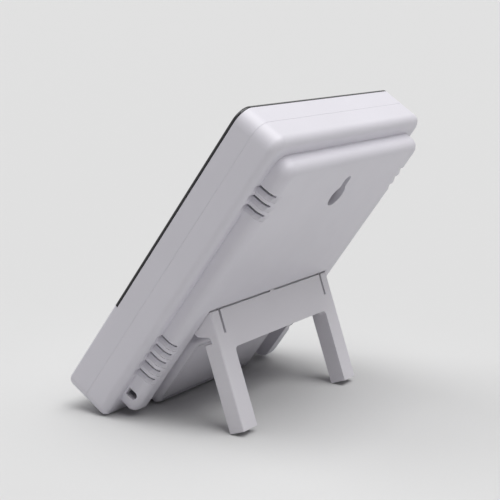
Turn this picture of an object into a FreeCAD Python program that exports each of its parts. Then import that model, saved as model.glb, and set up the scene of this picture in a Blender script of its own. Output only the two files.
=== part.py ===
import FreeCAD, Part
import math
import os
from types import SimpleNamespace

import Sketcher
from FreeCAD import Placement, Rotation, Vector

# Digital thermo-hygrometer, standing on its fold-out stand.
#
# Every piece is drawn as if the case stood upright: X runs across the case, Y runs
# from the display (0) to the back, and Z runs up from the bottom edge. A placement
# then leans the whole thing back until it rests on its bottom edge and its two feet.

os.makedirs("parts", exist_ok=True)
doc = FreeCAD.newDocument("thermo_hygrometer")

# Driving dimensions, in millimetres and degrees

SIZES = {
    # case
    "case_width": 100.0,
    "case_height": 108.0,
    "body_depth": 16.4,
    "top_corner": 5.0,
    "bottom_corner": 3.6,
    "front_side_round": 0.8,
    "front_bottom_round": 2.5,
    "back_side_round": 2.6,
    "back_bottom_round": 1.2,
    "wall": 2.0,
    "parting_depth": 7.8,
    "parting_round": 0.12,
    "lap_height": 0.9,
    "lap_gap": 0.1,
    "lean_angle": 31.5,
    # raised back
    "raise_height": 5.8,
    "raise_side": 4.5,
    "raise_top": 5.6,
    "raise_bottom": 4.8,
    "raise_corner": 4.5,
    "raise_round": 3.0,
    # lens and display
    "lens_bottom": 33.0,
    "lens_thickness": 1.0,
    "lens_gap": 0.1,
    "tape_thickness": 0.2,
    "tape_margin": 1.0,
    "seat_wall": 1.5,
    "window_side": 8.0,
    "window_top": 8.0,
    "window_bottom": 42.0,
    "window_corner": 1.0,
    "glass_margin": 2.0,
    "glass_thickness": 2.2,
    "reflector_thickness": 0.3,
    "frame_wall": 1.3,
    "frame_lip": 2.4,
    "frame_gap": 0.2,
    "zebra_height": 2.0,
    "zebra_inset": 3.0,
    # circuit board
    "board_side": 5.0,
    "board_bottom": 6.0,
    "board_top": 4.0,
    "board_front": 6.8,
    "board_thickness": 1.2,
    # keys
    "front_wall": 2.2,
    "key_height": 16.0,
    "key_share": 0.26,
    "key_length": 16.0,
    "key_breadth": 6.4,
    "key_proud": 0.7,
    "key_gap": 0.2,
    "key_round": 0.4,
    "key_flange": 1.2,
    "key_flange_thickness": 1.0,
    "key_travel": 0.5,
    "switch_size": 6.0,
    "switch_body": 2.4,
    "plunger_radius": 1.7,
    # stand and its hinge
    "hinge_height": 45.85,
    "hub_radius": 2.7,
    "pin_radius": 1.5,
    "pin_length": 1.5,
    "pin_fit": 0.08,
    "stand_half": 38.0,
    "stand_gap": 0.3,
    "stand_open": 53.8,
    "stop_gap": 0.1,
    "stop_half": 1.2,
    "rebate_drop": 0.55,
    "rebate_depth": 0.7,
    "crossbar_drop": 14.2,
    "crossbar_thickness": 2.6,
    "leg_width": 7.9,
    "arch_round": 1.5,
    "leg_round": 0.5,
    "leg_lead": 2.9,
    "ear_width": 4.25,
    "ear_depth": 4.9,
    "ear_reach": 8.3,
    "slit_width": 1.2,
    "slit_length": 9.1,
    "rib_height": 2.7,
    "rib_thickness": 1.5,
    # battery compartment and its cover
    "bay_height": 5.0,
    "bay_half": 29.5,
    "bay_bottom": 3.2,
    "bay_top": 31.0,
    "bay_corner": 3.0,
    "bay_round": 1.8,
    "cell_diameter": 10.5,
    "cell_length": 44.5,
    "cell_gap": 0.2,
    "nub_radius": 1.9,
    "nub_length": 0.8,
    "contact_thickness": 0.4,
    "spring_reach": 4.2,
    "dimple_reach": 0.5,
    "bay_wall": 1.5,
    "bay_floor": 1.0,
    "cover_thickness": 1.3,
    "cover_ledge": 0.8,
    "cover_gap": 0.25,
    "hook_x": 14.0,
    "hook_width": 5.0,
    "hook_reach": 1.7,
    "hook_thickness": 0.7,
    "scoop_radius": 4.0,
    "scoop_depth": 1.0,
    "rib_start": 3.0,
    "rib_pitch": 1.6,
    "plate_half": 4.0,
    "tab_width": 2.4,
    "tab_length": 1.4,
    "lead_radius": 0.5,
    "lead_bend": 1.2,
    # parts on the board
    "chip_x": 10.0,
    "chip_height": 62.0,
    "chip_width": 7.6,
    "chip_length": 10.4,
    "chip_thickness": 1.5,
    "chip_lead": 0.45,
    "crystal_x": -8.0,
    "crystal_bottom": 58.0,
    "crystal_length": 8.0,
    "crystal_radius": 1.5,
    "sensor_inset": 8.0,
    "sensor_top": 19.0,
    "sensor_size": 8.0,
    "sensor_thickness": 3.4,
    "bead_inset": 1.5,
    "bead_height": 26.0,
    "bead_radius": 1.2,
    "bead_stand": 5.0,
    # vents, hanging hole and side outlet
    "vent_pitch": 3.45,
    "vent_groove": 2.4,
    "vent_slot": 1.0,
    "vent_depth": 1.4,
    "vent_top": 15.8,
    "vent_lower": 34.1,
    "hanger_top": 21.7,
    "hanger_radius": 3.9,
    "hanger_slot": 1.8,
    "hanger_rise": 6.1,
    "hanger_clear": 1.2,
    "hanger_depth": 3.2,
    "outlet_height": 11.3,
    "outlet_width": 2.6,
    "outlet_length": 3.6,
    # fasteners
    "case_screw_low": 7.8,
    "case_screw_high": 27.0,
    "screw_radius": 1.3,
    "screw_length": 8.0,
    "head_radius": 2.3,
    "head_height": 1.5,
    "board_screw_inset": 4.0,
    "board_screw_low": 10.0,
    "board_screw_high": 35.0,
    "small_screw_radius": 0.9,
    "small_screw_length": 5.0,
    "small_head_radius": 1.8,
    "small_head_height": 1.1,
    "screw_clear": 0.1,
    "boss_wall": 1.6,
}

sheet = doc.addObject("Spreadsheet::Sheet", "sizes")
for row, (name, number) in enumerate(SIZES.items(), start=1):
    sheet.set(f"A{row}", name)
    sheet.set(f"B{row}", str(number))
    sheet.setAlias(f"B{row}", name)
doc.recompute()


# A size knows its number and the sheet formula that gives it

class Size:
    def __init__(self, number, formula):
        self.number = number
        self.formula = formula

    def __add__(self, other):
        other = as_size(other)
        return Size(self.number + other.number, f"({self.formula} + {other.formula})")

    def __sub__(self, other):
        other = as_size(other)
        return Size(self.number - other.number, f"({self.formula} - {other.formula})")

    def __mul__(self, other):
        other = as_size(other)
        return Size(self.number * other.number, f"({self.formula} * {other.formula})")

    def __truediv__(self, other):
        other = as_size(other)
        return Size(self.number / other.number, f"({self.formula} / {other.formula})")

    def __neg__(self):
        return as_size(0) - self

    def __radd__(self, other):
        return as_size(other) + self

    def __rsub__(self, other):
        return as_size(other) - self

    def __rmul__(self, other):
        return as_size(other) * self


def as_size(value):
    if isinstance(value, Size):
        return value
    return Size(float(value), f"({float(value)})")


def sine(angle):
    return Size(math.sin(math.radians(angle.number)), f"sin({angle.formula})")


def cosine(angle):
    return Size(math.cos(math.radians(angle.number)), f"cos({angle.formula})")


S = SimpleNamespace(**{name: Size(number, f"sizes.{name}") for name, number in SIZES.items()})


def bind(thing, prop, value):
    thing.setExpression(prop, as_size(value).formula)


# Places that several pieces share

half_width = S.case_width / 2
back_depth = S.body_depth + S.raise_height
seat_depth = S.lens_thickness + S.tape_thickness
window_width = S.case_width - 2 * S.window_side
window_height = S.case_height - S.window_top - S.window_bottom
glass_front = seat_depth + S.seat_wall
glass_behind = glass_front + S.lap_gap + S.glass_thickness
glass_half = window_width / 2 + S.glass_margin
glass_bottom = S.window_bottom - S.glass_margin
glass_top = S.window_bottom + window_height + S.glass_margin
back_glass_bottom = glass_bottom + S.zebra_height + 3 * S.frame_gap
board_width = S.case_width - 2 * S.board_side
board_top = S.case_height - S.board_top
board_back = S.board_front + S.board_thickness
zebra_length = window_width - 2 * S.zebra_inset
shell_inside = S.body_depth - S.wall
raise_inside = back_depth - S.wall

# Recess for the stand: its floor lies just under the shoulder round the raised back
recess_half = S.stand_half + S.stand_gap
leg_inner = S.hub_radius
hinge_depth = S.body_depth + leg_inner + S.stand_gap
recess_floor = hinge_depth - leg_inner - S.stand_gap
hub_hollow = S.hub_radius + S.stand_gap
ear_floor = hinge_depth - S.ear_depth - S.stand_gap
ear_inner = S.stand_half - S.ear_width
rib_bottom = S.hinge_height - S.slit_length - S.stand_gap - S.rib_thickness
# The open stand stops against the upper edge of the recess
stop_reach = S.hub_radius + S.stop_gap - (back_depth - hinge_depth) * cosine(S.stand_open)
recess_edge = S.hinge_height + stop_reach / sine(S.stand_open)
stop_drop = ((back_depth - hinge_depth) * sine(S.stand_open)
             - (recess_edge - S.hinge_height) * cosine(S.stand_open))

# Battery bay
bay_back = recess_floor + S.bay_height
cover_inner = bay_back - S.cover_thickness
ledge_depth = cover_inner - S.screw_clear
well_half = (S.cell_length + S.spring_reach + S.dimple_reach) / 2 + S.contact_thickness
well_tall = 2 * S.cell_diameter + 3 * S.cell_gap
well_bottom = (S.bay_bottom + S.bay_top) / 2 - well_tall / 2
well_top = well_bottom + well_tall
cell_depth = ledge_depth - S.cell_gap - S.cell_diameter / 2
well_floor = cell_depth - S.cell_diameter / 2 - S.cell_gap / 2
low_cell = well_bottom + S.cell_gap + S.cell_diameter / 2
high_cell = low_cell + S.cell_diameter + S.cell_gap
cover_half = well_half + 2 * S.cover_ledge
cover_bottom = well_bottom - S.cover_ledge
cover_top = well_top + S.cover_ledge
cover_round = S.cover_thickness / 2
cover_hinge_height = cover_bottom + cover_round
cover_hinge_depth = bay_back - cover_round
hook_places = [-S.hook_x, S.hook_x]
hook_tip = cover_inner - S.hook_reach
tab_depth = well_floor + S.bay_wall
tab_end = well_half + S.bay_wall + S.tab_length

# Keys
key_places = [i * S.case_width * S.key_share for i in (-1, 0, 1)]
flange_front = S.front_wall + S.lap_gap
flange_back = flange_front + S.key_flange_thickness
plunger_front = flange_back + S.key_travel + S.lap_gap

# Sensors, vents and hanging hole keep their distances from the case's edges
sensor_x = board_width / 2 - S.sensor_inset
sensor_height = S.case_height - S.sensor_top
bead_x = half_width - S.raise_side - S.wall - S.bead_inset
vent_upper = S.case_height - S.vent_top
hanger_height = S.case_height - S.hanger_top

# Screw bosses
case_screw_x = S.stand_half - S.leg_width / 2
board_screw_x = board_width / 2 - S.board_screw_inset
case_screws = [(side * case_screw_x, height)
               for side in (-1, 1) for height in (S.case_screw_low, S.case_screw_high)]
board_screws = [(side * board_screw_x, height)
                for side in (-1, 1) for height in (S.board_screw_low, S.board_screw_high)]
head_seat = recess_floor - S.head_height - S.screw_clear
rear_boss_front = head_seat - S.boss_wall
front_boss_back = rear_boss_front - S.screw_clear

# Where the leaning case touches the ground
low_round = S.back_bottom_round
lift = ((S.body_depth - low_round) * sine(S.lean_angle)
        - low_round * cosine(S.lean_angle) + low_round)
front_reach = S.front_bottom_round * (sine(S.lean_angle) + cosine(S.lean_angle) - 1)
rear_reach = ((back_depth - S.raise_round) * cosine(S.lean_angle)
              + (S.case_height - S.raise_top - S.raise_round) * sine(S.lean_angle)
              + S.raise_round)
setback = (front_reach + rear_reach) / 2


def leaned(depth, height):
    """Where a point of the upright case lies once the case leans back."""
    y = depth * cosine(S.lean_angle) + height * sine(S.lean_angle) - setback
    z = height * cosine(S.lean_angle) - depth * sine(S.lean_angle) + lift
    return y, z


hinge_y, hinge_z = leaned(hinge_depth, S.hinge_height)
leg_tilt = S.stand_open - S.lean_angle
leg_length = (hinge_z - leg_inner * sine(leg_tilt)) / cosine(leg_tilt)

# Pieces

pieces = []


def place(piece, depth=0, height=0, turn=0):
    """Lean a piece back about X with the case, after its own turn at (depth, height)."""
    y, z = leaned(as_size(depth), as_size(height))
    piece.Placement = Placement(Vector(0, 0, 0), Rotation(Vector(1, 0, 0), 1))
    bind(piece, "Placement.Base.y", y)
    bind(piece, "Placement.Base.z", z)
    bind(piece, "Placement.Rotation.Angle", as_size(turn) - S.lean_angle)


def new_body(label, depth=0, height=0, turn=0):
    body = doc.addObject("PartDesign::Body", label)
    body.Label = label
    place(body, depth, height, turn)
    pieces.append(body)
    return body


def new_group(label, members):
    group = doc.addObject("Part::Compound", label)
    group.Label = label
    group.Links = members
    place(group)
    pieces.append(group)
    return group


# Sketches and features

def origin_feature(body, role):
    return next(f for f in body.Origin.OriginFeatures if f.Role == role)


def sketch(body, plane, offset):
    """An empty sketch on an origin plane, moved to a place along X, Y or Z."""
    new = body.newObject("Sketcher::SketchObject", "outline")
    new.AttachmentSupport = (origin_feature(body, plane), "")
    new.MapMode = "FlatFace"
    sign = -1 if plane == "XZ_Plane" else 1
    bind(new, "AttachmentOffset.Base.z", sign * as_size(offset))
    return new


def fix_point(drawing, curve, end, x, y):
    """Tie one end of a curve to its distances from the sketch's origin."""
    for kind, axis, value in (("DistanceX", -2, as_size(x)), ("DistanceY", -1, as_size(y))):
        if abs(value.number) < 1e-9:
            drawing.addConstraint(Sketcher.Constraint("PointOnObject", curve, end, axis))
            continue
        index = drawing.addConstraint(
            Sketcher.Constraint(kind, -1, 1, curve, end, value.number))
        drawing.setExpression(f"Constraints[{index}]", value.formula)


def draw_line(drawing, start, end):
    line = drawing.addGeometry(Part.LineSegment(
        Vector(start[0].number, start[1].number, 0), Vector(end[0].number, end[1].number, 0)))
    fix_point(drawing, line, 1, *start)
    fix_point(drawing, line, 2, *end)
    return line


def draw_polygon(drawing, corners):
    corners = [(as_size(x), as_size(y)) for x, y in corners]
    first = None
    last = None
    for start, end in zip(corners, corners[1:] + corners[:1]):
        line = drawing.addGeometry(Part.LineSegment(
            Vector(start[0].number, start[1].number, 0),
            Vector(end[0].number, end[1].number, 0)))
        fix_point(drawing, line, 1, *start)
        if last is not None:
            drawing.addConstraint(Sketcher.Constraint("Coincident", last, 2, line, 1))
        first = line if first is None else first
        last = line
    drawing.addConstraint(Sketcher.Constraint("Coincident", last, 2, first, 1))


def draw_rounded(drawing, x0, x1, y0, y1, low, high):
    """A rectangle whose lower and upper corners are rounded by low and high."""
    x0, x1, y0, y1 = (as_size(v) for v in (x0, x1, y0, y1))
    corners = [(x1, y0, low, -1, 1, -90), (x1, y1, high, -1, -1, 0),
               (x0, y1, high, 1, -1, 90), (x0, y0, low, 1, 1, 180)]
    arcs = []
    for x, y, radius, dx, dy, angle in corners:
        radius = as_size(radius)
        centre = Vector(x.number + dx * radius.number, y.number + dy * radius.number, 0)
        circle = Part.Circle(centre, Vector(0, 0, 1), radius.number)
        start = math.radians(angle)
        arc = drawing.addGeometry(Part.ArcOfCircle(circle, start, start + math.pi / 2))
        index = drawing.addConstraint(Sketcher.Constraint("Radius", arc, radius.number))
        drawing.setExpression(f"Constraints[{index}]", radius.formula)
        arcs.append(arc)
    sides = [((x0 + low, y0), (x1 - low, y0)), ((x1, y0 + low), (x1, y1 - high)),
             ((x1 - high, y1), (x0 + high, y1)), ((x0, y1 - high), (x0, y0 + low))]
    for index, (start, end) in enumerate(sides):
        line = draw_line(drawing, start, end)
        drawing.addConstraint(Sketcher.Constraint("Coincident", line, 2, arcs[index], 1))
        drawing.addConstraint(Sketcher.Constraint("Coincident", line, 1, arcs[index - 1], 2))


def new_feature(body, kind, name):
    """A feature that leaves split faces alone; only the last one of a body joins them."""
    feature = body.newObject(f"PartDesign::{kind}", name)
    feature.Refine = False
    return feature


def grow(body, kind, drawing, length, forward):
    """Pad or pocket a sketch towards +X, +Y or +Z (forward) or the other way."""
    feature = new_feature(body, kind, kind.lower())
    feature.Profile = drawing
    bind(feature, "Length", length)
    against = drawing.AttachmentSupport[0][0].Role == "XZ_Plane"
    if kind == "Pocket":
        against = not against
    feature.Reversed = forward == against
    return feature


def pad(body, drawing, length, forward=True):
    return grow(body, "Pad", drawing, length, forward)


def pocket(body, drawing, length, forward=True):
    return grow(body, "Pocket", drawing, length, forward)


def set_box(feature, x0, x1, y0, y1, z0, z1):
    for prop, low, high in (("Length", x0, x1), ("Width", y0, y1), ("Height", z0, z1)):
        bind(feature, prop, as_size(high) - low)
    for axis, low in (("x", x0), ("y", y0), ("z", z0)):
        bind(feature, f"Placement.Base.{axis}", low)
    return feature


TURNS = {"X": Rotation(Vector(0, 1, 0), 90), "Y": Rotation(Vector(1, 0, 0), -90),
         "Z": Rotation()}


def set_rod(feature, x, y, z, radius, length, axis):
    """A round bar from (x, y, z) along +X, +Y or +Z."""
    feature.Placement = Placement(Vector(0, 0, 0), TURNS[axis])
    bind(feature, "Radius", radius)
    bind(feature, "Height", length)
    for name, value in (("x", x), ("y", y), ("z", z)):
        bind(feature, f"Placement.Base.{name}", value)
    return feature


def add_box(body, *limits):
    return set_box(new_feature(body, "AdditiveBox", "block"), *limits)


def cut_box(body, *limits):
    return set_box(new_feature(body, "SubtractiveBox", "cut"), *limits)


def add_rod(body, *values):
    return set_rod(new_feature(body, "AdditiveCylinder", "rod"), *values)


def cut_rod(body, *values):
    return set_rod(new_feature(body, "SubtractiveCylinder", "hole"), *values)


def edges_where(shape, test):
    return [f"Edge{i}" for i, edge in enumerate(shape.Edges, start=1) if test(edge)]


def fillet(body, radius, test):
    """Round those edges of the body's last feature that pass the test."""
    doc.recompute()
    base = body.Tip
    names = edges_where(base.Shape, test)
    feature = new_feature(body, "Fillet", "round")
    feature.Base = (base, names)
    bind(feature, "Radius", radius)
    return feature


def near(a, b, slack=1e-4):
    return abs(a - as_size(b).number) < slack


def flat_in(edge, axis, place_at):
    box = edge.BoundBox
    low, high = {"x": (box.XMin, box.XMax), "y": (box.YMin, box.YMax),
                 "z": (box.ZMin, box.ZMax)}[axis]
    return near(low, place_at) and near(high, place_at)


# Outer form of the closed case, from which both shells are cut

def case_form():
    profile = doc.addObject("Sketcher::SketchObject", "case_outline")
    profile.Placement = Placement(Vector(0, 0, 0), Rotation(Vector(1, 0, 0), 90))
    draw_rounded(profile, -half_width, half_width, 0, S.case_height,
                 S.bottom_corner, S.top_corner)
    block = doc.addObject("Part::Extrusion", "case_block")
    block.Base = profile
    block.DirMode = "Custom"
    block.Dir = Vector(0, 1, 0)
    block.Solid = True
    bind(block, "LengthFwd", S.body_depth)
    doc.recompute()
    rounded = doc.addObject("Part::Fillet", "case_form")
    rounded.Base = block
    rounded.Edges = [(index, *rim_radii(edge))
                     for index, edge in enumerate(block.Shape.Edges, start=1)
                     if flat_in(edge, "y", 0) or flat_in(edge, "y", S.body_depth)]
    doc.recompute()
    return rounded


def rim_radii(edge):
    """Rounding at both ends of an edge of the front or back rim."""
    if edge.CenterOfMass.y < S.body_depth.number / 2:
        side, bottom = S.front_side_round.number, S.front_bottom_round.number
    else:
        side, bottom = S.back_side_round.number, S.back_bottom_round.number
    if edge.CenterOfMass.z > S.bottom_corner.number:
        return side, side
    if not isinstance(edge.Curve, Part.Circle):
        return bottom, bottom
    starts_at_side = near(abs(edge.valueAt(edge.FirstParameter).x), half_width)
    return (side, bottom) if starts_at_side else (bottom, side)


def front_shell(form):
    body = new_body("front_shell")
    body.BaseFeature = form
    beyond = S.case_width
    cut_box(body, -beyond, beyond, S.parting_depth, beyond, -beyond, 2 * beyond)
    fillet(body, S.parting_round, lambda edge: flat_in(edge, "y", S.parting_depth))

    # Step that the lens lies in, across the whole width
    cut_box(body, -beyond, beyond, -S.wall, seat_depth, S.lens_bottom - S.lens_gap, 2 * beyond)

    # Inside, deeper behind the keys than behind the lens
    inner = sketch(body, "XZ_Plane", S.parting_depth)
    draw_rounded(inner, S.wall - half_width, half_width - S.wall, S.wall,
                 S.case_height - S.wall, S.bottom_corner - S.wall, S.top_corner - S.wall)
    pocket(body, inner, S.parting_depth - glass_front, forward=False)
    cut_box(body, S.wall - half_width + S.wall, half_width - 2 * S.wall,
            S.front_wall, glass_front + S.wall / 4, 2 * S.wall, S.lens_bottom - S.wall)

    # Display window and key holes
    window = sketch(body, "XZ_Plane", 0)
    draw_rounded(window, -window_width / 2, window_width / 2, S.window_bottom,
                 S.window_bottom + window_height, S.window_corner, S.window_corner)
    pocket(body, window, S.parting_depth)
    for x in key_places:
        hole = sketch(body, "XZ_Plane", -S.wall)
        draw_pill(hole, x, S.key_gap)
        pocket(body, hole, S.parting_depth)

    # Tongue that laps inside the rear shell
    lap_outer = (S.wall + S.lap_gap) / 2
    tongue = sketch(body, "XZ_Plane", S.parting_depth)
    for inset in (lap_outer, S.wall):
        draw_rounded(tongue, inset - half_width, half_width - inset, inset,
                     S.case_height - inset, S.bottom_corner - inset, S.top_corner - inset)
    pad(body, tongue, S.lap_height)

    # Bosses for the case screws and the board screws
    for x, height in case_screws:
        outer = S.screw_radius + S.boss_wall
        add_rod(body, x, S.front_wall - S.wall / 2, height, outer,
                front_boss_back - S.front_wall + S.wall / 2, "Y")
        cut_rod(body, x, head_seat - S.screw_length - S.boss_wall, height,
                S.screw_radius + S.screw_clear / 2, S.screw_length + S.boss_wall, "Y")
    for x, height in board_screws:
        outer = S.small_screw_radius + S.boss_wall
        add_rod(body, x, S.front_wall - S.wall / 2, height, outer,
                S.board_front - S.front_wall + S.wall / 2, "Y")
        cut_rod(body, x, board_back - S.small_screw_length - S.small_screw_radius / 2, height,
                S.small_screw_radius + S.screw_clear / 2, S.small_screw_length, "Y")
    return body


def draw_pill(drawing, x, extra):
    """The rounded outline of a key, grown by extra on every side."""
    half_long = S.key_length / 2 + extra
    half_tall = S.key_breadth / 2 + extra
    radius = half_tall - S.key_round / 4
    draw_rounded(drawing, x - half_long, x + half_long, S.key_height - half_tall,
                 S.key_height + half_tall, radius, radius)


def raised_outline(drawing, inset, bottom=None):
    """The outline of the raised back, or of its hollow inside."""
    side = half_width - S.raise_side - inset
    low = S.raise_bottom + inset if bottom is None else bottom
    radius = S.raise_corner - inset
    draw_rounded(drawing, -side, side, low, S.case_height - S.raise_top - inset, radius, radius)


def rear_shell(form):
    body = new_body("rear_shell")
    body.BaseFeature = form
    beyond = S.case_width
    cut_box(body, -beyond, beyond, -beyond, S.parting_depth, -beyond, 2 * beyond)
    fillet(body, S.parting_round, lambda edge: flat_in(edge, "y", S.parting_depth))
    raised = sketch(body, "XZ_Plane", S.body_depth - S.wall)
    raised_outline(raised, 0)
    pad(body, raised, S.raise_height + S.wall)
    fillet(body, S.raise_round, lambda edge: flat_in(edge, "y", back_depth))
    hollow_rear(body)
    house_stand(body)
    battery_bay(body)
    hanging_hole(body)
    side_outlet(body)
    for x, height in case_screws:
        add_rod(body, x, rear_boss_front, height, S.head_radius + S.boss_wall,
                shell_inside - rear_boss_front + S.wall / 2, "Y")
        cut_rod(body, x, rear_boss_front - S.wall, height,
                S.screw_radius + 2 * S.screw_clear, S.wall * 4, "Y")
        cut_rod(body, x, head_seat, height, S.head_radius + 2 * S.screw_clear,
                recess_floor - head_seat + S.wall / 4, "Y")
    vents(body)
    return body


def hollow_rear(body):
    # Main hollow, and the rabbet that takes the front shell's tongue
    lap_outer = (S.wall - S.lap_gap) / 2
    for inset, start, depth in ((S.wall, S.parting_depth, shell_inside - S.parting_depth),
                                (lap_outer, S.parting_depth, S.lap_height + S.lap_gap)):
        inner = sketch(body, "XZ_Plane", start)
        draw_rounded(inner, inset - half_width, half_width - inset, inset,
                     S.case_height - inset, S.bottom_corner - inset, S.top_corner - inset)
        pocket(body, inner, depth)

    # Hollow of the raised back above the stand, and inside its two side rims
    above = sketch(body, "XZ_Plane", shell_inside)
    raised_outline(above, S.wall, S.hinge_height + hub_hollow + S.wall)
    pocket(body, above, raise_inside - shell_inside)
    inner_side = half_width - S.raise_side - S.wall
    for low, high in ((recess_half + S.bay_wall, inner_side),
                      (-inner_side, -recess_half - S.bay_wall)):
        cut_box(body, low, high, shell_inside - S.wall, raise_inside,
                S.raise_bottom + S.raise_corner, S.hinge_height + hub_hollow + 2 * S.wall)


def house_stand(body):
    # Thicker floor behind the two deep pockets that the stand's ears swing in
    for side in (-1, 1):
        low, high = sorted((side * (ear_inner - S.slit_width - S.bay_wall),
                            side * (recess_half + S.bay_wall)), key=lambda s: s.number)
        add_box(body, low, high, ear_floor - S.bay_wall, recess_floor,
                rib_bottom, S.hinge_height + hub_hollow + S.bay_wall)

    # Recess that the folded stand lies in, open at the bottom of the case
    cut_box(body, -recess_half, recess_half, recess_floor, back_depth + S.wall,
            -S.wall, S.hinge_height)
    edge_cut = sketch(body, "YZ_Plane", -recess_half)
    draw_polygon(edge_cut, [(hinge_depth, S.hinge_height - S.wall),
                            (back_depth + S.wall, S.hinge_height - S.wall),
                            (back_depth + S.wall, recess_edge),
                            (back_depth, recess_edge),
                            (hinge_depth, S.hinge_height + hub_hollow / 2)])
    pocket(body, edge_cut, 2 * recess_half)
    cut_rod(body, -recess_half, hinge_depth, S.hinge_height, hub_hollow, 2 * recess_half, "X")
    for side in (-1, 1):
        low, high = sorted((side * (ear_inner - S.slit_width), side * recess_half),
                           key=lambda s: s.number)
        cut_box(body, low, high, ear_floor, hinge_depth,
                S.hinge_height - S.slit_length - S.stand_gap, S.hinge_height)

    # Rib across the recess, under the notch in the stand's back
    add_box(body, -recess_half, recess_half, recess_floor - S.wall / 2,
            recess_floor + S.rib_height, rib_bottom, rib_bottom + S.rib_thickness)

    # Holes for the hinge pins
    reach = recess_half + S.pin_length + S.stand_gap
    cut_rod(body, -reach, hinge_depth, S.hinge_height, S.pin_radius + S.pin_fit, 2 * reach, "X")


def battery_bay(body):
    # Raised block between the stand's legs, and the box behind it for two cells
    block = sketch(body, "XZ_Plane", recess_floor - S.wall / 2)
    draw_rounded(block, -S.bay_half, S.bay_half, S.bay_bottom, S.bay_top,
                 S.bay_corner, S.bay_corner)
    pad(body, block, S.bay_height + S.wall / 2)
    fillet(body, S.bay_round, lambda edge: flat_in(edge, "y", bay_back))
    add_box(body, -well_half - S.bay_wall, well_half + S.bay_wall,
            well_floor - S.bay_floor, shell_inside + S.wall / 2,
            well_bottom - S.bay_wall, well_top + S.bay_wall)
    cut_box(body, -well_half, well_half, well_floor, bay_back + S.wall, well_bottom, well_top)

    # Seat of the cover, and the two notches that its hooks turn in
    reach = cover_half + S.cover_gap
    cut_box(body, -reach, reach, ledge_depth, bay_back + S.wall,
            cover_bottom - S.cover_gap, cover_top + S.cover_gap)
    for x in hook_places:
        half = S.hook_width / 2 + S.cover_gap
        cut_box(body, x - half, x + half, hook_tip - S.cover_gap,
                hook_tip + S.hook_thickness + S.cover_gap,
                cover_bottom - S.cover_gap, well_bottom + S.hook_thickness)

    # Slots in the end wall for the contacts' solder tabs
    for height in (low_cell, high_cell):
        half = S.tab_width / 2 + S.lap_gap
        cut_box(body, -well_half - S.bay_wall * 3 / 2, -well_half, tab_depth - S.lap_gap,
                tab_depth + S.contact_thickness + S.lap_gap, height - half, height + half)


def vents(body):
    """Sloping grooves round the side of the raised back, each with a slot at its upper edge."""
    side = half_width - S.raise_side
    shoulder = S.body_depth
    bend = back_depth - S.raise_round
    diagonal = math.sqrt(0.5)
    skin = S.screw_clear / 4
    deep = [(side + 2.7, shoulder + skin), (side + 1.5, shoulder - S.vent_depth * 0.75),
            (side - S.vent_depth, shoulder - S.vent_depth * 0.75),
            (side - S.vent_depth, bend + 0.6),
            (side - S.vent_depth - 0.8, back_depth - S.vent_depth * 0.75),
            (side - S.raise_round, back_depth - S.vent_depth / 3),
            (side - S.raise_round - 1.5, back_depth + skin),
            (side + 4.5, back_depth + S.wall)]
    middle = (S.raise_round + skin) * diagonal
    shallow = [(side + 2.7, shoulder + skin), (side + 1.5, shoulder + skin),
               (side + skin, shoulder + skin), (side + skin, bend),
               (side - S.raise_round + middle, bend + middle),
               (side - S.raise_round, back_depth + skin),
               (side - S.raise_round - 1.5, back_depth + skin),
               (side + 4.5, back_depth + S.wall)]
    # The top groove on the left is cut by itself, the others in rows of equal ones
    rows = ((-1, vent_upper, 1), (-1, vent_upper - S.vent_pitch, 2), (-1, S.vent_lower, 5),
            (1, vent_upper, 3), (1, S.vent_lower, 5))
    for sign, top, count in rows:
        upper = sketch(body, "XY_Plane", top)
        draw_polygon(upper, [(sign * x, y) for x, y in deep])
        lower = sketch(body, "XY_Plane", top - S.vent_groove)
        draw_polygon(lower, [(sign * x, y) for x, y in shallow])
        groove = new_feature(body, "SubtractiveLoft", "vent_groove")
        groove.Profile = upper
        groove.Sections = [lower]
        groove.Ruled = True
        inside = side - S.wall - S.vent_slot
        low, high = sorted((sign * inside, sign * (side + 1)), key=lambda s: s.number)
        slot = cut_box(body, low, high, shoulder - S.vent_depth / 2,
                       back_depth - S.vent_depth / 2, top - S.vent_slot, top)
        if count == 1:
            continue
        row = new_feature(body, "LinearPattern", "vent_row")
        row.Originals = [groove, slot]
        row.Direction = (origin_feature(body, "Z_Axis"), [""])
        row.Reversed = True
        row.Occurrences = count
        bind(row, "Length", (count - 1) * S.vent_pitch)
        body.Tip = row


def hanging_hole(body):
    """Keyhole for a wall screw, with a closed pocket behind it for the screw's head."""
    side = S.hanger_radius + S.hanger_clear
    top = hanger_height + S.hanger_rise
    shell = S.bay_wall
    add_box(body, -side - shell, side + shell, raise_inside - S.hanger_depth - shell,
            raise_inside + S.wall / 2, hanger_height - side - shell, top + side + shell)
    cut_box(body, -side, side, raise_inside - S.hanger_depth, raise_inside,
            hanger_height - side, top + side)
    start = raise_inside - S.wall / 4
    cut_rod(body, 0, start, hanger_height, S.hanger_radius, S.wall * 2, "Y")
    cut_rod(body, 0, start, top, S.hanger_slot, S.wall * 2, "Y")
    cut_box(body, -S.hanger_slot, S.hanger_slot, start, back_depth + S.wall,
            hanger_height, top)


def side_outlet(body):
    """Small D-shaped hole low in the side of the raised back."""
    side = half_width - S.raise_side
    radius = S.outlet_width / 2
    start = side - S.wall - S.vent_slot
    middle = S.body_depth + 0.5 + S.outlet_length - radius
    cut_box(body, start, side + 1, S.body_depth + 0.5, middle,
            S.outlet_height - radius, S.outlet_height + radius)
    cut_rod(body, start, middle, S.outlet_height, radius, S.wall + S.vent_slot + 1, "X")


# Lens and display

def display_lens(form):
    body = new_body("display_lens")
    body.BaseFeature = form
    beyond = S.case_width
    cut_box(body, -beyond, beyond, S.lens_thickness, beyond, -beyond, 2 * beyond)
    cut_box(body, -beyond, beyond, -S.wall, beyond, -beyond, S.lens_bottom)


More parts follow.
